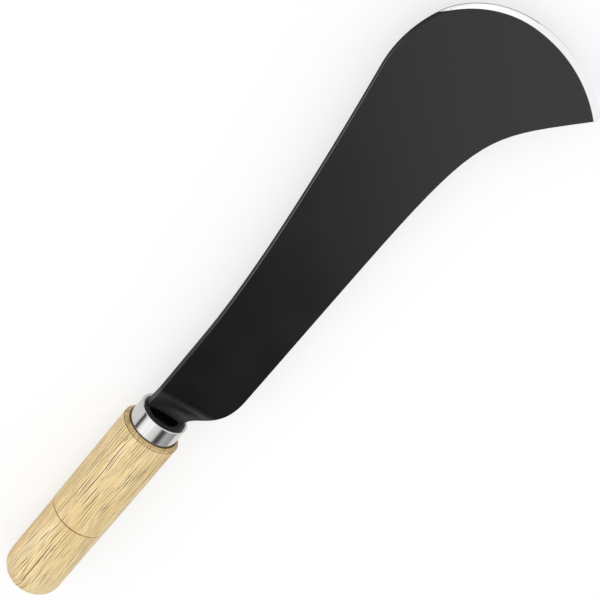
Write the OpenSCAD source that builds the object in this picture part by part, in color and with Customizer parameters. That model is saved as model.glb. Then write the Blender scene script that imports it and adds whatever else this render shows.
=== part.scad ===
// Billhook with a crescent edge: a tapered steel plate with a dished neck and a tang,
// held in a turned wooden grip by a bright ferrule with a dark collar in its mouth.
// Millimetres. +X runs along the grip from the butt to the blade, +Y is the spine side,
// and +Z stands on the blade's face. The origin is on the grip's axis, at the rear edge
// of the ring scored round the grip.

/* [Grip] */
// Radius of the grip behind the scored ring
grip_r = 16.6; // [15:0.1:20]
// How much fuller the grip is in front of the scored ring
front_step = 0.1; // [0:0.05:0.8]
// From the scored ring's rear edge to the end of the butt
rear_l = 57.5; // [45:0.5:90]
// From the scored ring's rear edge to the shoulder that the ferrule meets
front_l = 70.8; // [60:0.1:100]
// Radius that rounds the butt's edge
butt_round = 11; // [6:0.5:13]
// Height of the butt's crown inside that round
butt_crown = 1.2; // [0.5:0.1:3]
// Width of the scored ring
score_w = 1; // [0.6:0.1:2]
// Depth of the scored ring
score_depth = 0.6; // [0.3:0.1:1]
// Length of the chamfer at the front shoulder
shoulder_l = 1.7; // [1:0.1:4]
// Radial depth of that chamfer
shoulder_drop = 2.1; // [0.5:0.1:2.5]

/* [Ferrule] */
// Radius of the tenon turned on the front of the grip
tenon_r = 12.2; // [11.5:0.1:13]
// Length of that tenon
tenon_l = 5.4; // [4:0.1:6]
// Length of the ferrule
ferrule_l = 11.1; // [10.5:0.1:20]
// Wall of the ferrule
ferrule_wall = 1.7; // [1:0.1:2]
// Radius of the ferrule's rounded mouth
ferrule_lip = 0.6; // [0.2:0.1:0.9]

/* [Collar] */
// Wall of the collar, from the ferrule to the hole round the neck
collar_wall = 3.6; // [2:0.1:4]
// How far the collar's face lies inside the ferrule's mouth
collar_recess = 0.5; // [0.2:0.1:1.5]
// Chamfer at the collar's hole
collar_chamfer = 0.4; // [0.2:0.1:0.8]

/* [Blade plate] */
// Thickness of the plate where the neck ends
plate_t = 5; // [3.5:0.1:5.5]
// Thickness of the plate at the crescent
head_t = 3.8; // [2.5:0.1:4.5]
// From the ferrule's mouth to the crescent's apex
blade_l = 272.5; // [240:0.5:330]
// Distance of the straight spine from the grip's axis
spine_y = 10.4; // [9:0.1:11]
// Distance of the straight belly from the grip's axis
belly_y = 29; // [24:0.5:36]

/* [Spine curve] */
// Length of the spine's straight part, from the ferrule's mouth
spine_straight = 52; // [40:0.5:80]
// From the crescent's apex back to the point where the hump begins
hump_back = 56.8; // [50:0.1:65]
// Height of that point over the straight spine
hump_rise = 17.8; // [10:0.1:22]
// Slope of the spine at that point
hump_slope = 9.6; // [4:0.1:12]
// Radius of the hump before the crescent
hump_r = 57; // [45:0.5:75]
// Slope at which the spine runs into the crescent
fall_slope = 27.7; // [22:0.1:32]

/* [Belly curve] */
// Depth of the heel along the blade, from the ferrule's mouth
heel_l = 30.5; // [26:0.5:36]
// From the crescent's apex back to the start of the flare
flare_back = 174; // [140:1:190]
// Drop of the flare's end below the straight belly
flare_drop = 52.9; // [40:0.1:60]
// Slope of the belly at the flare's end
flare_slope = 45; // [38:1:50]

/* [Crescent] */
// Radius of the crescent from its apex to the belly
crescent_belly_r = 84.5; // [76:0.5:92]
// Distance of the apex from the grip's axis, towards the belly
apex_y = 17.5; // [14:0.5:22]
// Radius of the corner between crescent and belly
corner_r = 3; // [1.5:0.5:5]
// Radius of the line at which the ground bevel starts, on the spine's side
grind_spine_r = 51.6; // [48:0.1:55]
// Radius of the same line on the belly's side
grind_belly_r = 82.5; // [78:0.5:88]
// Width of the ground bevel at the apex
grind_w = 2.65; // [2:0.05:5]
// Distance of both grinding centres from the grip's axis, towards the belly
grind_y = 16; // [14:0.1:20]
// Flat left along the cutting edge
edge_flat = 0.3; // [0.2:0.05:0.6]

/* [Neck and tang] */
// Width of the neck in the ferrule
neck_w = 21.4; // [19:0.1:21.6]
// Clearance of the neck in the collar, on each side
neck_fit = 0.25; // [0.15:0.05:0.5]
// Depth of the dish pressed in the neck
neck_dish = 2.6; // [0:0.1:3]
// How far the neck's spine side is set back from the plate's face
neck_back = 1.3; // [0:0.1:2]
// From the ferrule's mouth to the crease where the neck begins, at the belly
crease_belly = 11.5; // [9:0.5:12]
// The same at the spine
crease_spine = 13.1; // [10:0.1:14]
// Length over which the neck's belly side runs down from that crease
run_belly = 6; // [3:0.5:10]
// The same at the spine
run_spine = 12.1; // [6:0.1:13]
// Width of the tang where it enters the wood
tang_w = 15; // [10:0.5:17]
// Distance of the tang's middle behind the plate's middle, where it enters the wood
tang_back = 2.3; // [0:0.1:2.5]
// Width of the tang at its point
tang_tip_w = 5; // [3:0.5:8]
// Thickness of the tang at its point
tang_tip_t = 2.4; // [1.5:0.1:3.5]
// Depth of the tang in the wood
tang_l = 84; // [50:1:100]

/* [Fits] */
// Radial clearance between tenon, ferrule and collar
press_gap = 0.04; // [0.02:0.01:0.1]
// Clearance of the tang in its hole in the wood
tang_gap = 0.15; // [0.05:0.05:0.3]

/* [Hidden] */
eps = 0.01;

// Places along the grip's axis
mouth_x = front_l + ferrule_l;
tenon_x = front_l + tenon_l;
collar_x0 = tenon_x + press_gap;
collar_x1 = mouth_x - collar_recess;
apex_x = mouth_x + blade_l;
join_t = 0.72;

// Radii round that axis
front_r = grip_r + front_step;
ferrule_in = tenon_r + press_gap;
ferrule_out = ferrule_in + ferrule_wall;
collar_out = ferrule_in - press_gap;
hole_r = collar_out - collar_wall;
neck_hw = neck_w / 2;

// A cubic curve through its end points a and d, drawn towards b and c
function curve(a, b, c, d, t) =
    pow(1 - t, 3) * a + 3 * pow(1 - t, 2) * t * b + 3 * (1 - t) * t * t * c + pow(t, 3) * d;
function steps(n) = [for (i = [0 : n]) i / n];
function around(c, r, a) = c + r * [cos(a), sin(a)];
function arc(c, r, a0, a1, n) = [for (u = steps(n)) around(c, r, a0 + (a1 - a0) * u)];

// Spine: straight, then a long hollow curve and a round hump that runs into the crescent
spine_bend = [mouth_x + spine_straight, spine_y];
hump = [apex_x - hump_back, spine_y + hump_rise];
hump_c = hump + hump_r * [sin(hump_slope), -cos(hump_slope)];
spine_pull = 55.2;
hump_pull = 15.4;
spine_points = [for (u = steps(16)) curve(spine_bend, spine_bend + [spine_pull, 0],
    hump - hump_pull * [cos(hump_slope), sin(hump_slope)], hump, u)];
hump_points = arc(hump_c, hump_r, 90 + hump_slope, 90 - fall_slope, 12);

// Crescent: a cubic curve from the hump to the apex, then an arc, with a common tangent
hump_end = hump_points[len(hump_points) - 1];
apex = [apex_x, -apex_y];
hump_run = 19.3;
apex_run = 11;
crescent_points = [for (u = steps(16)) curve(hump_end,
    hump_end + hump_run * [cos(fall_slope), -sin(fall_slope)], apex + [0, apex_run], apex, u)];
belly_arc_c = apex - [crescent_belly_r, 0];

// Belly: heel, straight and flare, which runs on past the crescent and is cut off by it
heel_out = 0.32 * heel_l;
heel_in = 0.18 * heel_l;
heel_dip = 0.5;
function heel(t) = curve([mouth_x, -neck_hw], [mouth_x + heel_out, -neck_hw - heel_dip],
    [mouth_x + heel_in, -belly_y], [mouth_x + heel_l, -belly_y], t);
flare_end_back = 9;
flare_start = [apex_x - flare_back, -belly_y];
flare_end = [apex_x - flare_end_back, -belly_y - flare_drop];
flare_pull = 131.4;
flare_tail = 74.6;
function flare(t) = curve(flare_start, flare_start + [flare_pull, 0],
    flare_end + flare_tail * [-cos(flare_slope), sin(flare_slope)], flare_end, t);

// The corner's centre lies corner_r inside both the flare and the crescent
function inside(t) = let(g = flare(t + eps) - flare(t - eps)) flare(t) + corner_r * [-g[1], g[0]] / norm(g);
function outside(p) = norm(p - belly_arc_c) > crescent_belly_r - corner_r;
function corner_t(a, b, n) = let(m = (a + b) / 2)
    n == 0 ? m : outside(inside(m)) ? corner_t(a, m, n - 1) : corner_t(m, b, n - 1);
flare_t = corner_t(0.5, 1, 30);
corner_c = inside(flare_t);
corner_a = atan2(corner_c[1] - belly_arc_c[1], corner_c[0] - belly_arc_c[0]);
flare_n = flare(flare_t) - corner_c;
belly_arc = arc(belly_arc_c, crescent_belly_r, 0, corner_a, 18);
corner_arc = arc(corner_c, corner_r, corner_a, atan2(flare_n[1], flare_n[0]), 5);
flare_points = [for (u = steps(20)) flare(flare_t * (1 - u))];
heel_points = [for (u = steps(6)) heel(1 - (1 - join_t) * u)];

join_x = heel(join_t)[0];
plate_outline = concat([[join_x, spine_y]], spine_points, hump_points, crescent_points, belly_arc,
    corner_arc, flare_points, heel_points);

// The neck's section is set back from the plate's: v runs from the belly (0) to the spine (1)
function between(a, b, v) = a + (b - a) * v;
function smooth(u) = let(k = max(0, min(1, u))) k * k * (3 - 2 * k);
function depth(v) = neck_back * v + neck_dish * (1 - pow(2 * v - 1, 2));
function share(x, v) = smooth((mouth_x + between(crease_belly, crease_spine, v) - x)
    / between(run_belly, run_spine, v));

// Rings of the tang and neck: x, lower side, upper side, thickness, offset of the flat tang.
// The neck's upper side comes in to the spine over the first quarter of its rings.
tang_x = tenon_x - tang_l;
tang_thinner = 0.4;
tang_t = plate_t - tang_thinner;
neck_x = tenon_x + press_gap;
tang_rings = [
    [tang_x, -tang_tip_w / 2, tang_tip_w / 2, tang_tip_t, 0],
    [tenon_x, -tang_w / 2, tang_w / 2, tang_t, tang_back]
];
neck_rings = concat([[neck_x, -neck_hw, neck_hw, plate_t]], [for (u = steps(16)) let(p = heel(join_t * u))
    [p[0], p[1], neck_hw + (spine_y - neck_hw) * min(1, 4 * u), plate_t]]);
cols = 12;

// Past the last of these, the neck runs on into the plate, a little smaller than it
root_l = 1;
root_inset = 0.5;
root = neck_rings[len(neck_rings) - 1];
root_ring = [join_x + root_l, root[1] + root_inset, root[2] - root_inset, plate_t - root_inset];
rings = concat(tang_rings, neck_rings, [root_ring]);

// One ring's outline: the face side from the belly to the spine, then the back side
function set_back(r, v) = len(r) > 4 ? r[4] : share(r[0], v) * depth(v);
function ring_point(r, v, side) = [r[0], between(r[1], r[2], v), side * r[3] / 2 - set_back(r, v)];
function ring_loop(r) = concat(
    [for (j = [0 : cols]) ring_point(r, j / cols, 1)],
    [for (j = [cols : -1 : 0]) ring_point(r, j / cols, -1)]);

// A solid through rings of equally many points, with flat ends
module loft(loops) {
    n = len(loops[0]);
    m = len(loops);
    points = [for (loop = loops) each loop];
    sides = [for (i = [0 : m - 2], j = [0 : n - 1]) let(a = i * n + j, b = i * n + (j + 1) % n)
        each [[a, b, a + n], [b, b + n, a + n]]];
    half = n / 2;
    ends = [for (j = [0 : half - 2]) let(a = j, b = j + 1, c = n - 2 - j, d = n - 1 - j, k = (m - 1) * n)
        each [[a, c, b], [a, d, c], [k + a, k + b, k + c], [k + a, k + c, k + d]]];
    polyhedron(points, concat(sides, ends));
}

// The tang's hole in the wood: a straight-sided taper, one clearance larger than the tang
module tang_hole() {
    w0 = tang_tip_w / 2 + tang_gap;
    w1 = tang_w / 2 + tang_gap;
    t0 = tang_tip_t / 2 + tang_gap;
    t1 = tang_t / 2 + tang_gap;
    x0 = tang_x - tang_gap;
    x1 = tenon_x + eps;
    intersection() {
        linear_extrude(height = plate_t * 4, center = true)
            polygon([[x0, -w0], [x1, -w1], [x1, w1], [x0, w0]]);
        rotate([90, 0, 0]) linear_extrude(height = tang_w * 2, center = true)
            polygon([[x0, -t0], [x1, -t1 - tang_back], [x1, t1 - tang_back], [x0, t0]]);
    }
}

// Turns a profile of [distance along the axis, radius] round the grip's axis
module turned(profile) {
    rotate([0, 90, 0]) rotate([0, 0, 90]) rotate_extrude($fn = 96)
        polygon([for (p = profile) [p[1], p[0]]]);
}

module grip() {
    flat_r = grip_r - butt_round;
    round_x = -rear_l + butt_crown + butt_round;
    crown_r = (flat_r * flat_r + butt_crown * butt_crown) / (2 * butt_crown);
    crown_a = asin(flat_r / crown_r);
    crown = arc([crown_r - rear_l, 0], crown_r, 180, 180 - crown_a, 5);
    edge = arc([round_x, flat_r], butt_round, 180, 90, 12);
    color("burlywood") difference() {
        turned(concat(crown, [for (i = [1 : len(edge) - 1]) edge[i]], [
            [0, grip_r], [0.3 * score_w, grip_r - score_depth], [0.7 * score_w, grip_r - score_depth],
            [score_w, front_r], [front_l - shoulder_l, front_r],
            [front_l - 0.3 * shoulder_l, front_r - 0.5 * shoulder_drop], [front_l, front_r - shoulder_drop],
            [front_l, tenon_r], [tenon_x, tenon_r], [tenon_x, 0]
        ]));
        tang_hole();
    }
}

module ferrule() {
    lip = arc([mouth_x - ferrule_lip, ferrule_out - ferrule_lip], ferrule_lip, 90, 0, 4);
    seat_x = front_l + press_gap;
    color("silver") turned(concat([[seat_x, ferrule_in], [seat_x, ferrule_out]], lip,
        [[mouth_x, ferrule_in + ferrule_lip / 2], [mouth_x - ferrule_lip / 2, ferrule_in]]));
}

// The neck's section, one clearance larger, all along the collar
module neck_slot() {
    section = neck_rings[0];
    face = [for (j = [0 : cols]) ring_point(section, j / cols, 1) + neck_fit * [0, 2 * j / cols - 1, 1]];
    back = [for (j = [cols : -1 : 0]) ring_point(section, j / cols, -1) + neck_fit * [0, 2 * j / cols - 1, -1]];
    translate([tenon_x, 0, 0]) rotate([90, 0, 90]) linear_extrude(height = ferrule_l)
        polygon([for (p = concat(face, back)) [p[1], p[2]]]);
}

// The round hole shows as a dark hollow before the neck, whose edges sit in two notches
module collar() {
    color("dimgray") difference() {
        turned([
            [collar_x0, hole_r], [collar_x0, collar_out], [collar_x1, collar_out],
            [collar_x1, hole_r + collar_chamfer], [collar_x1 - collar_chamfer, hole_r]
        ]);
        neck_slot();
    }
}

// The plate's two faces draw together from the neck to the crescent
module plate_taper() {
    reach = apex_x + corner_r;
    end_t = plate_t + (head_t - plate_t) * (reach - join_x) / (apex_x - join_x);
    rotate([90, 0, 0]) linear_extrude(height = 4 * (belly_y + flare_drop), center = true) polygon([
        [join_x, -plate_t / 2], [reach, -end_t / 2], [reach, end_t / 2], [join_x, plate_t / 2]
    ]);
}

// One stretch of the grind: a cone from angle a to angle b about its grinding centre
module grind_cone(line_r, a, b) {
    edge_r = line_r + grind_w;
    slope = (head_t - edge_flat) / 2 / grind_w;
    top = plate_t;
    translate([apex_x - edge_r, -grind_y, 0]) rotate([0, 0, a])
        rotate_extrude(angle = b - a, $fn = 180) polygon([
            [edge_r - (top - edge_flat / 2) / slope, top],
            [edge_r, edge_flat / 2],
            [edge_r + line_r, edge_flat / 2],
            [edge_r + line_r, top]
        ]);
}

// One side's grind: two cones that overlap a little at the apex, where they touch
module grind() {
    sweep = 60;
    overlap = 0.5;
    grind_cone(grind_spine_r, 0, sweep);
    grind_cone(grind_belly_r, overlap - sweep, overlap);
}

module plate() {
    difference() {
        intersection() {
            linear_extrude(height = 4 * plate_t, center = true) polygon(plate_outline);
            plate_taper();
        }
        grind();
        mirror([0, 0, 1]) grind();
    }
}

module blade() {
    color("#2b2b2b") union() {
        plate();
        loft([for (r = rings) ring_loop(r)]);
    }
}

grip();
ferrule();
collar();
blade();
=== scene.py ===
import bpy
from mathutils import Matrix, Vector


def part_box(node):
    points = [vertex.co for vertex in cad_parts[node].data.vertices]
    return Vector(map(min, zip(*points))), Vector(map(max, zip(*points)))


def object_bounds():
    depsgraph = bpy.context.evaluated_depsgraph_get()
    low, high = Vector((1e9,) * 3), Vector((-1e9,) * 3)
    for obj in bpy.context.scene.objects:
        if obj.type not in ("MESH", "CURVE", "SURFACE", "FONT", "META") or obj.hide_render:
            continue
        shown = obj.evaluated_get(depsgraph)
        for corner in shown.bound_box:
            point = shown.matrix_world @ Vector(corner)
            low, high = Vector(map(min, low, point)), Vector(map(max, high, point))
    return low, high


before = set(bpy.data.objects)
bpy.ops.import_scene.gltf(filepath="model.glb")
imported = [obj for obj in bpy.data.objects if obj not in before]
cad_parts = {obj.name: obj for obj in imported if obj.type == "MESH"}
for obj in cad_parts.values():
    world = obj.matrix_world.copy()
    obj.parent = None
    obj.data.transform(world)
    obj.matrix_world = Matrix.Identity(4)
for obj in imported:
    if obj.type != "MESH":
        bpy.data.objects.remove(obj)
cad_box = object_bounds()

MM = 0.001

# Places along the tool, in metres; the scored ring is the one that no box gives
butt_x = cad_box[0][0]
score_x = 0.5 * MM
shoulder_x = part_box("ferrule")[0][0]
collar_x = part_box("collar")[1][0]
apex_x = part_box("blade")[1][0]

# Sizes that the materials share with the CAD model
chamfer_l = 1.7 * MM
grind_w = 2.65 * MM
grind_y = -16.0 * MM
grind_spine_r = 51.6 * MM
grind_belly_r = 82.5 * MM
head_half = 1.95 * MM

# Where the grind comes in on the plate's spine edge, and where it reaches the plate's face
grind_in_x = apex_x - 22.7 * MM
grind_full_x = apex_x - 18.2 * MM

# The painted shade line: its half width and its dark core along the crescent's edge, its width
# where it follows the lower corner of the plate's own edge, and how that corner rises past the
# grind
edge_shade_half = 0.55 * MM
edge_shade_core = 0.2 * MM
edge_shade_corner_w = 0.9 * MM
corner_rise = 0.7

# The plate's sheared edges: how rough they are near the neck, and where they grow fully matt
edge_rough = 0.75
matt_x = collar_x + 58.6 * MM
matt_full_x = collar_x + 108.6 * MM

# The painted highlight band along the spine's edge: where it comes in, is full, fades and ends
band_x = collar_x + 48.6 * MM
band_full_x = collar_x + 108.6 * MM
band_fade_x = apex_x - 64.4 * MM
band_end_x = apex_x - 32.4 * MM

# The neck: where its forged finish thins out and ends, the painted highlight on its crease, and
# the painted shade behind it
forged_x = collar_x + 11.0 * MM
forged_end_x = collar_x + 14.0 * MM
crease_highlight_x = collar_x + 10.8 * MM
crease_highlight_half = 1.1 * MM
valley_shade_x = collar_x + 7.5 * MM
valley_shade_half = 2.4 * MM

# A split in the grip's wood: how far it lies towards the spine, how much it sways, where it
# starts and ends, and how long it takes to come in and to fade
split_y = 7.0 * MM
split_half = 0.36 * MM
split_sway = 1.0 * MM
split_from_x = butt_x + 10.5 * MM
split_in_l = 4.0 * MM
split_to_x = butt_x + 49.5 * MM
split_out_l = 20.0 * MM

# Pores in the wood: their spacing in mm, their half width as a share of it, how often they
# come and go along a metre, and the level of noise below which they are gone
pores = ((4.3, 0.06, 15.0, 0.52), (1.45, 0.15, 34.0, 0.45), (0.75, 0.18, 75.0, 0.47))

# How far the materials round the edges of the metal
blade_bevel = 0.35 * MM
ferrule_bevel = 0.2 * MM
collar_bevel = 0.15 * MM

# The floor: half its side, the gap under the tool, and how much of its look is plain white,
# so that the shadow on it stays light
floor_half = 12.0
floor_gap = 0.2 * MM
white_share = 0.65

# Camera: where it stands, what it looks at, and which way is up in the picture
camera_place = Vector((0.4808, 0.2566, 0.6125))
camera_aim = Vector((0.1767, -0.0161, 0.0))
camera_up = Vector((0.6904, 0.4683, -0.5513))
focal_px = 1500.0
frame_px = 600.0

# Radiance of the studio's two wide lights and of the gap between them
first_light = 1.42
second_light = 1.12
gap_light = 0.05


def make_camera():
    data = bpy.data.cameras.new("camera")
    camera = bpy.data.objects.new("camera", data)
    bpy.context.scene.collection.objects.link(camera)
    back = (camera_place - camera_aim).normalized()
    right = camera_up.cross(back).normalized()
    up = back.cross(right)
    turn = Matrix((right, up, back)).transposed().to_4x4()
    camera.matrix_world = Matrix.Translation(camera_place) @ turn
    data.sensor_width = 36.0
    data.lens = data.sensor_width * focal_px / frame_px
    data.clip_start = 0.01
    data.clip_end = 10.0
    bpy.context.scene.camera = camera


def grey(level):
    return (level, level, level)


class Nodes:
    """The node tree of a material or a world, with short calls for its nodes and links."""

    def __init__(self, name, world=None):
        self.material = world or bpy.data.materials.new(name)
        self.material.use_nodes = True
        self.tree = self.material.node_tree
        self.shader = self.tree.nodes.get("Principled BSDF")
        coordinates = self.add("ShaderNodeTexCoord").outputs
        self.where = coordinates["Object"]
        self.facing = coordinates["Normal"]
        self.generated = coordinates["Generated"]

    def add(self, kind, **values):
        node = self.tree.nodes.new(kind)
        for key, value in values.items():
            setattr(node, key, value)
        return node

    def link(self, source, target):
        self.tree.links.new(source, target)

    def feed(self, socket, value):
        if isinstance(value, bpy.types.NodeSocket):
            self.link(value, socket)
        else:
            socket.default_value = value

    def math(self, operation, a, b=0.0):
        node = self.add("ShaderNodeMath", operation=operation)
        self.feed(node.inputs[0], a)
        self.feed(node.inputs[1], b)
        return node.outputs[0]

    def times(self, first, *others):
        for other in others:
            first = self.math("MULTIPLY", first, other)
        return first

    def above(self, value, level):
        """1 where a value is greater than a level, else 0."""
        return self.math("GREATER_THAN", value, level)

    def absolute(self, value):
        return self.math("ABSOLUTE", value)

    def stretch(self, scale, turn=(0, 0, 0), vector=None):
        node = self.add("ShaderNodeMapping")
        node.inputs["Scale"].default_value = scale
        node.inputs["Rotation"].default_value = turn
        self.link(vector or self.where, node.inputs["Vector"])
        return node.outputs[0]

    def apart(self, vector):
        node = self.add("ShaderNodeSeparateXYZ")
        self.link(vector, node.inputs[0])
        return node.outputs

    def shift(self, vector, colour, distance):
        """Moves a vector sideways by a noise colour, whose middle leaves it where it is."""
        away = self.add("ShaderNodeVectorMath", operation="SUBTRACT")
        self.link(colour, away.inputs[0])
        away.inputs[1].default_value = (0.5, 0.5, 0.5)
        node = self.add("ShaderNodeVectorMath", operation="MULTIPLY_ADD")
        self.link(away.outputs[0], node.inputs[0])
        node.inputs[1].default_value = (0.0, distance, distance)
        self.link(vector, node.inputs[2])
        return node.outputs[0]

    def bevel(self, radius):
        node = self.add("ShaderNodeBevel", samples=6)
        node.inputs["Radius"].default_value = radius
        return node.outputs[0]

    def noise(self, vector, detail, rough, per_m=1.0, colour=False):
        """Noise with per_m cells to a metre, or to a unit of a vector that is stretched."""
        node = self.add("ShaderNodeTexNoise")
        self.link(vector, node.inputs["Vector"])
        for name, value in (("Scale", per_m), ("Detail", detail), ("Roughness", rough)):
            node.inputs[name].default_value = value
        return node.outputs["Color" if colour else "Fac"]

    def ramp(self, value, *stops):
        node = self.add("ShaderNodeValToRGB")
        points = node.color_ramp.elements
        while len(points) < len(stops):
            points.new(0.5)
        for point, (place, colour) in zip(points, stops):
            point.position = place
            point.color = (*colour, 1.0)
        self.link(value, node.inputs["Fac"])
        return node.outputs["Color"]

    def span(self, value, low, high, to_low=0.0, to_high=1.0):
        """Takes low to to_low and high to to_high, straight between them and level outside."""
        node = self.add("ShaderNodeMapRange")
        self.link(value, node.inputs["Value"])
        ends = (("From Min", low), ("From Max", high), ("To Min", to_low), ("To Max", to_high))
        for name, number in ends:
            node.inputs[name].default_value = number
        return node.outputs[0]

    def band(self, value, middle, half):
        """1 about the middle of a band, and 0 from its edges on."""
        away = self.absolute(self.math("SUBTRACT", value, middle))
        return self.span(away, 0.5 * half, half, 1.0, 0.0)

    def between(self, share, a, b, kind, **values):
        node = self.add("ShaderNodeMix", **values)
        self.feed(node.inputs["Factor"], share)
        for name, value in (("A", a), ("B", b)):
            socket = [s for s in node.inputs if s.name == name and s.type == kind][0]
            self.feed(socket, (*value, 1.0) if isinstance(value, tuple) else value)
        return [s for s in node.outputs if s.type == kind][0]

    def pick(self, share, a, b):
        return self.between(share, a, b, "VALUE", data_type="FLOAT")

    def mix(self, share, a, b, blend="MIX"):
        return self.between(share, a, b, "RGBA", data_type="RGBA", blend_type=blend)

    def bump(self, height, strength, distance, normal=None):
        node = self.add("ShaderNodeBump")
        node.inputs["Strength"].default_value = strength
        node.inputs["Distance"].default_value = distance
        self.link(height, node.inputs["Height"])
        if normal is not None:
            self.link(normal, node.inputs["Normal"])
        return node.outputs[0]

    def put(self, **values):
        names = {"colour": "Base Color", "rough": "Roughness", "metal": "Metallic",
                 "normal": "Normal", "specular": "Specular IOR Level"}
        for key, value in values.items():
            if isinstance(value, tuple):
                value = (*value, 1.0)
            self.feed(self.shader.inputs[names[key]], value)


def dress(node, material):
    for slot in bpy.data.objects[node].material_slots:
        slot.link = "OBJECT"
        slot.material = material


def past_grind(m, place, spine_side):
    """How far a point lies outside the line at which the crescent's bevel starts."""
    dy = m.math("SUBTRACT", place["Y"], grind_y)
    past = []
    for line_r in (grind_spine_r, grind_belly_r):
        dx = m.math("SUBTRACT", place["X"], apex_x - grind_w - line_r)
        radius = m.math("SQRT", m.math("ADD", m.times(dx, dx), m.times(dy, dy)))
        past.append(m.math("SUBTRACT", radius, line_r))
    return m.pick(spine_side, past[1], past[0])


def ground_crescent(m, place, sheared):
    """The mask of the ground bevel, its colour, and how rough it is."""
    spine_side = m.above(place["Y"], grind_y)
    past = past_grind(m, place, spine_side)
    on_head = m.above(place["X"], grind_in_x)
    ground = m.times(m.span(past, -0.05 * MM, 0.1 * MM), on_head)
    # On the spine's edge it comes in over a short slant, from the far face to the near one
    slant = m.span(place["X"], grind_in_x, grind_full_x, -head_half, head_half)
    slant = m.times(m.math("LESS_THAN", place["Z"], slant), on_head, sheared, spine_side)
    ground = m.math("MAXIMUM", ground, slant)

    scratch = m.noise(m.stretch((3000.0, 160.0, 160.0), turn=(0, 0, 0.5)), detail=2.0, rough=0.6)
    bright = m.ramp(scratch, (0.3, grey(0.86)), (0.7, (0.95, 0.95, 0.955)))
    # A thin dark line of painted shade runs along the cutting edge, darkest on the spine's side
    edge_shade_line = m.span(m.absolute(place["Z"]), edge_shade_half, edge_shade_core)
    corner_z = m.math("SUBTRACT", m.times(m.math("MAXIMUM", past, 0.0), corner_rise), head_half)
    from_corner = m.math("SUBTRACT", place["Z"], corner_z)
    at_corner = m.span(from_corner, edge_shade_corner_w, 0.5 * edge_shade_corner_w)
    edge_shade_line = m.pick(m.times(sheared, spine_side), edge_shade_line, at_corner)
    edge_shade_line = m.times(edge_shade_line, m.span(place["Y"], -60.0 * MM, 0.0, 0.5, 0.97))
    bright = m.mix(edge_shade_line, bright, grey(0.04))
    return ground, bright, m.span(scratch, 0.3, 0.7, 0.28, 0.4)


def painted_plate(m, place, sheared, rounded):
    """Colour and roughness of the painted faces and sheared edges, with painted highlight and
    shade at the spine.
    """
    broad = m.noise(m.where, detail=3.0, rough=0.5, per_m=26.0)
    black = m.ramp(broad, (0.3, (0.0020, 0.0020, 0.0021)), (0.7, (0.0034, 0.0034, 0.0035)))
    edge = m.span(place["X"], matt_x, matt_full_x, edge_rough, 1.0)
    rough = m.pick(sheared, m.span(broad, 0.3, 0.7, 0.20, 0.25), edge)
    # A painted highlight: a lighter band on the sheared edge next to the upper face, along the
    # middle of the spine
    spine_half = m.above(place["Y"], 0.0)
    spine_highlight = m.times(sheared, m.span(place["Z"], 0.4 * MM, 1.0 * MM), spine_half,
                        m.span(place["X"], band_x, band_full_x),
                        m.span(place["X"], band_end_x, band_fade_x))
    black = m.mix(spine_highlight, black, grey(0.11))
    # Painted shade: the arris on the spine's side is darkened, where the rounded normal leaves
    # the flat one
    turned = m.add("ShaderNodeVectorMath", operation="DOT_PRODUCT")
    m.link(rounded, turned.inputs[0])
    m.link(m.add("ShaderNodeNewGeometry").outputs["Normal"], turned.inputs[1])
    arris_shade = m.times(m.span(turned.outputs["Value"], 0.99, 0.9), spine_half)
    return m.mix(arris_shade, black, grey(0.0005)), m.pick(arris_shade, rough, 0.6)


def forged_neck_and_shade(m, place, fine, peel, black, rough):
    """The neck as it came from the forge: matt, and a little greyer than the plate, with painted
    highlight and shade.
    """
    uneven_x = m.math("ADD", place["X"], m.times(peel, 1.0 * MM))
    forged = m.span(uneven_x, forged_end_x, forged_x)
    scale = m.ramp(fine, (0.3, grey(0.012)), (0.7, (0.019, 0.019, 0.0185)))
    black = m.mix(forged, black, scale)
    rough = m.pick(forged, rough, m.span(fine, 0.3, 0.7, 0.48, 0.6))
    # Towards the belly its crease has a painted highlight, and painted shade lies in the hollow
    # behind it
    crease_highlight = m.times(m.band(uneven_x, crease_highlight_x, crease_highlight_half),
                     m.span(place["Y"], -1.0 * MM, -6.0 * MM))
    black = m.mix(crease_highlight, black, grey(0.032))
    valley_shade = m.times(m.band(uneven_x, valley_shade_x, valley_shade_half),
                    m.span(place["Y"], -3.0 * MM, -9.0 * MM))
    black = m.mix(valley_shade, black, grey(0.0015))
    # Inside the collar the neck is painted black as shade
    recess_shade = m.span(uneven_x, collar_x + 0.7 * MM, collar_x + 0.2 * MM)
    return m.mix(recess_shade, black, grey(0.0006)), m.pick(recess_shade, rough, 0.3)


def blade_material():
    m = Nodes("blade_steel")
    place = m.apart(m.where)
    # The sheared edges stand across the plate, whose faces and bevels look up or down
    sheared = m.math("LESS_THAN", m.absolute(m.apart(m.facing)["Z"]), 0.3)
    rounded = m.bevel(blade_bevel)
    fine = m.noise(m.where, detail=3.0, rough=0.6, per_m=1400.0)
    peel = m.noise(m.where, detail=2.0, rough=0.5, per_m=420.0)
    black, rough = painted_plate(m, place, sheared, rounded)
    black, rough = forged_neck_and_shade(m, place, fine, peel, black, rough)
    ground, bright, bright_rough = ground_crescent(m, place, sheared)
    m.put(colour=m.mix(ground, black, bright), metal=ground)
    m.put(rough=m.pick(ground, rough, bright_rough))
    m.put(normal=m.bump(fine, 0.12, 0.03 * MM, m.bump(peel, 0.10, 0.06 * MM, rounded)))
    return m.material


def ferrule_material():
    m = Nodes("ferrule_steel")
    lines = m.noise(m.stretch((14.0, 900.0, 900.0)), detail=3.0, rough=0.6)
    cloudy = m.noise(m.where, detail=3.0, rough=0.6, per_m=160.0)
    m.put(colour=m.ramp(lines, (0.3, (0.55, 0.55, 0.545)), (0.7, (0.62, 0.62, 0.61))), metal=1.0)
    m.put(rough=m.span(cloudy, 0.3, 0.7, 0.14, 0.18))
    m.put(normal=m.bump(lines, 0.12, 0.03 * MM, m.bevel(ferrule_bevel)))
    return m.material


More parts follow.
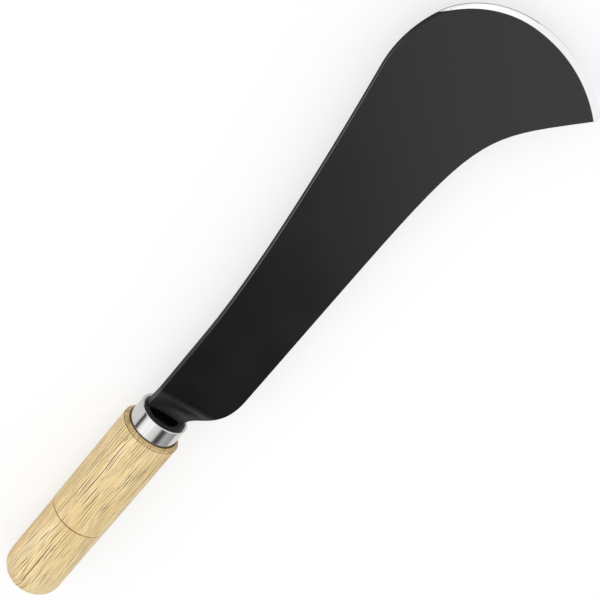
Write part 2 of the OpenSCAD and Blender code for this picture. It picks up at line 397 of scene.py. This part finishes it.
def collar_material():
    m = Nodes("collar_black")
    fine = m.noise(m.where, detail=3.0, rough=0.6, per_m=1500.0)
    face = m.ramp(fine, (0.3, grey(0.020)), (0.7, (0.032, 0.032, 0.031)))
    # The wall of the collar's hole is painted near black as shade
    hole_shade = m.span(m.apart(m.where)["X"], collar_x - 0.2 * MM, collar_x - 0.6 * MM)
    m.put(colour=m.mix(hole_shade, face, grey(0.0008)), rough=m.span(fine, 0.3, 0.7, 0.42, 0.52))
    m.put(normal=m.bump(fine, 0.3, 0.04 * MM, m.bevel(collar_bevel)))
    return m.material


def open_pores(m, place, grain, colour):
    """Fine lines along the grain that come and go, each with a painted highlight on its flank.
    """
    facing = m.apart(m.facing)
    wavy = m.apart(grain)
    aside = m.above(m.absolute(facing["Y"]), m.absolute(facing["Z"]))
    across = m.pick(aside, wavy["Y"], wavy["Z"])
    # They fade on the round of the butt, where the grain comes out endways
    endways = m.span(m.absolute(facing["X"]), 0.75, 0.95, 1.0, 0.0)
    dark = None
    for spacing, half, changes, gone in pores:
        crosswise = 190.0 / spacing
        stretched = m.stretch((9.0, crosswise, crosswise), vector=grain)
        uneven = m.times(m.noise(stretched, detail=1.0, rough=0.6), 1.6)
        number = m.math("ADD", m.math("DIVIDE", across, spacing * MM), uneven)
        off = m.math("SUBTRACT", m.math("FRACT", number), 0.5)
        # Each pore has a noise of its own that says where along the grain it shows
        own = m.add("ShaderNodeCombineXYZ")
        m.feed(own.inputs[0], m.times(place["X"], changes))
        m.feed(own.inputs[1], m.times(m.math("FLOOR", number), 7.3))
        m.feed(own.inputs[2], m.times(aside, 40.0))
        shown = m.span(m.noise(own.outputs[0], detail=2.0, rough=0.5), gone, gone + 0.13)
        shown = m.times(shown, endways)
        flank_highlight = m.times(m.band(off, 1.7 * half, 1.2 * half), shown)
        colour = m.mix(m.times(flank_highlight, 0.6), colour, (0.97, 0.86, 0.58))
        line = m.times(m.band(off, 0.0, half), shown)
        dark = line if dark is None else m.math("MAXIMUM", dark, line)
    return colour, dark


def long_split(m, place):
    """One long split that starts a little way in from the butt, on the upper side."""
    sway = m.times(m.noise(m.stretch((90.0, 1.0, 1.0)), detail=2.0, rough=0.6), split_sway)
    off = m.math("SUBTRACT", place["Y"], sway)
    split = m.band(off, split_y - 0.5 * split_sway, split_half)
    return m.times(split, m.above(place["Z"], 0.0),
                   m.span(place["X"], split_from_x, split_from_x + split_in_l),
                   m.span(place["X"], split_to_x, split_to_x - split_out_l))


def turned_stains_and_shade(m, place, colour):
    """Turned edges are darker: the chamfer, its rim, the scored ring and the ferrule's seat; the
    tenon is painted shade.
    """
    chamfer_x = shoulder_x - chamfer_l
    stain = m.noise(m.where, detail=2.0, rough=0.6, per_m=300.0)
    # The chamfer is darker in blotches and towards the grip's sides
    patch = m.span(m.noise(m.where, detail=1.0, rough=0.5, per_m=110.0), 0.42, 0.56, 0.0, 0.7)
    patch = m.math("MAXIMUM", patch, m.span(m.absolute(place["Y"]), 7.0 * MM, 14.0 * MM))
    blotch = m.times(patch, m.span(stain, 0.35, 0.6, 0.25, 1.0))
    faced = m.times(m.span(place["X"], chamfer_x, chamfer_x + 0.5 * chamfer_l),
                    m.span(blotch, 0.0, 1.0, 0.2, 0.85))
    colour = m.mix(faced, colour, (0.26, 0.15, 0.045))
    rim = m.times(m.band(place["X"], chamfer_x, 0.35 * MM), m.span(patch, 0.0, 1.0, 0.4, 0.95))
    colour = m.mix(rim, colour, (0.20, 0.11, 0.035))
    scored = m.times(m.band(place["X"], score_x, 0.42 * MM), m.span(stain, 0.3, 0.7, 0.8, 1.0))
    colour = m.mix(scored, colour, (0.10, 0.05, 0.02))
    burnt = m.ramp(stain, (0.35, (0.02, 0.012, 0.008)), (0.65, (0.10, 0.05, 0.025)))
    colour = m.mix(m.above(place["X"], shoulder_x - 0.05 * MM), colour, burnt)
    # The tenon, deep inside the ferrule, is painted black as shade
    return m.mix(m.above(place["X"], shoulder_x + 1.0 * MM), colour, grey(0.001))


def wood_material():
    m = Nodes("grip_wood")
    place = m.apart(m.where)
    # The grain runs along the grip and wanders a little from side to side
    wander = m.noise(m.stretch((30.0, 26.0, 26.0)), detail=1.0, rough=0.5, colour=True)
    grain = m.shift(m.where, wander, 2.4 * MM)
    broad = m.noise(m.stretch((14.0, 130.0, 130.0), vector=grain), detail=3.0, rough=0.6)
    colour = m.ramp(broad, (0.28, (0.70, 0.49, 0.195)), (0.43, (0.81, 0.61, 0.285)),
                    (0.57, (0.885, 0.70, 0.38)), (0.75, (0.94, 0.775, 0.48)))
    fibre = m.noise(m.stretch((40.0, 1900.0, 1900.0), vector=grain), detail=3.0, rough=0.6)
    streak = m.span(fibre, 0.35, 0.7, 0.0, 0.4)
    colour = m.mix(streak, colour, (0.66, 0.50, 0.28), blend="MULTIPLY")
    colour, dark = open_pores(m, place, grain, colour)
    dark = m.math("MAXIMUM", dark, long_split(m, place))
    colour = m.mix(m.times(dark, 0.95), colour, (0.17, 0.07, 0.002))
    m.put(colour=turned_stains_and_shade(m, place, colour))
    m.put(rough=m.math("MAXIMUM", m.span(fibre, 0.3, 0.7, 0.45, 0.6), dark))
    m.put(normal=m.bump(dark, 0.6, -0.15 * MM, m.bump(fibre, 0.25, 0.05 * MM)))
    return m.material


def make_floor():
    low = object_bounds()[0][2] - floor_gap
    square = ((-1, -1), (1, -1), (1, 1), (-1, 1))
    corners = [(x * floor_half, y * floor_half, low) for x, y in square]
    mesh = bpy.data.meshes.new("floor")
    mesh.from_pydata(corners, [], [(0, 1, 2, 3)])
    floor = bpy.data.objects.new("floor", mesh)
    bpy.context.scene.collection.objects.link(floor)
    m = Nodes("floor_white")
    m.put(colour=grey(0.95), rough=0.9, specular=0.0)
    # What the camera and the bright metal see of the floor is partly a plain white
    path = m.add("ShaderNodeLightPath").outputs
    seen = m.math("MAXIMUM", path["Is Camera Ray"], path["Is Glossy Ray"])
    seen = m.math("MAXIMUM", seen, path["Is Transmission Ray"])
    white = m.add("ShaderNodeEmission")
    both = m.add("ShaderNodeMixShader")
    m.link(m.times(seen, white_share), both.inputs[0])
    m.link(m.shader.outputs[0], both.inputs[1])
    m.link(white.outputs[0], both.inputs[2])
    m.link(both.outputs[0], m.tree.nodes["Material Output"].inputs["Surface"])
    mesh.materials.append(m.material)


def make_light():
    """A studio dome: two wide soft lights overhead with a darker gap between them."""
    world = bpy.data.worlds.new("studio")
    bpy.context.scene.world = world
    m = Nodes("studio", world)
    way = m.apart(m.generated)
    # The first light fills the side of the spine, down to a little above the horizon
    first = m.times(m.span(way["Y"], -0.27, -0.10), m.span(way["Z"], 0.17, 0.37),
                    m.span(way["Y"], 0.16, 0.42, 0.76, 1.05))
    # The second fills the belly's side and the blade's end, and fades towards the butt
    second = m.times(m.span(m.math("SUBTRACT", way["X"], way["Y"]), -0.08, 0.10),
                     m.span(way["X"], -0.60, -0.28, 0.45, 1.0),
                     m.span(way["Z"], 0.0, 0.6, 0.6, 1.0))
    level = m.math("MAXIMUM", m.times(first, first_light), m.times(second, second_light))
    back = world.node_tree.nodes["Background"]
    back.inputs["Color"].default_value = (1.0, 1.0, 1.0, 1.0)
    m.link(m.math("MAXIMUM", level, gap_light), back.inputs["Strength"])


make_camera()
dress("blade", blade_material())
dress("ferrule", ferrule_material())
dress("collar", collar_material())
dress("grip", wood_material())
make_floor()
make_light()
bpy.context.scene.view_settings.view_transform = "Standard"
